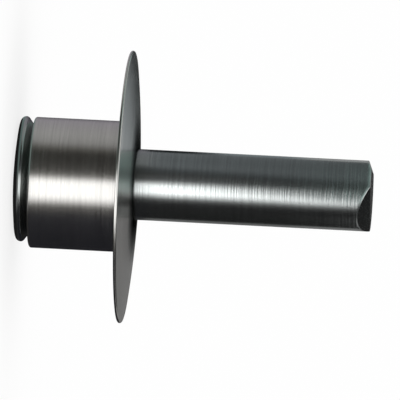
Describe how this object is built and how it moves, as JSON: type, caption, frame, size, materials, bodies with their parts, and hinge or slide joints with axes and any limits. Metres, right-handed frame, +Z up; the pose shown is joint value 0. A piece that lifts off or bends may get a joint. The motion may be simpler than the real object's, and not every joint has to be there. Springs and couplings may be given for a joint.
{
  "type": "pop rivet",
  "caption": "Blind rivet: a tubular sleeve with a shallow domed flange on a headed break-stem mandrel, set from one side of a joint by pulling the mandrel.",
  "frame": {"origin": "middle of the flat on the mandrel's head, on which the rivet stands, on the sleeve's axis: the centre of the bounding box's underside", "axes": "+Z up along the sleeve's axis, from the mandrel's head to its tail, +X and +Y level, -X being the side to which the mandrel leans in the bore"},
  "size_m": [0.01, 0.01, 0.0131],
  "materials": {
    "sleeve_steel": "drawn and brushed round, satin",
    "mandrel_steel": "plated, half bright, with fine marks round the shank"
  },
  "bodies": {
    "root": {"rivet_body": "sleeve_steel", "mandrel": "mandrel_steel"}
  },
  "joints": []
}
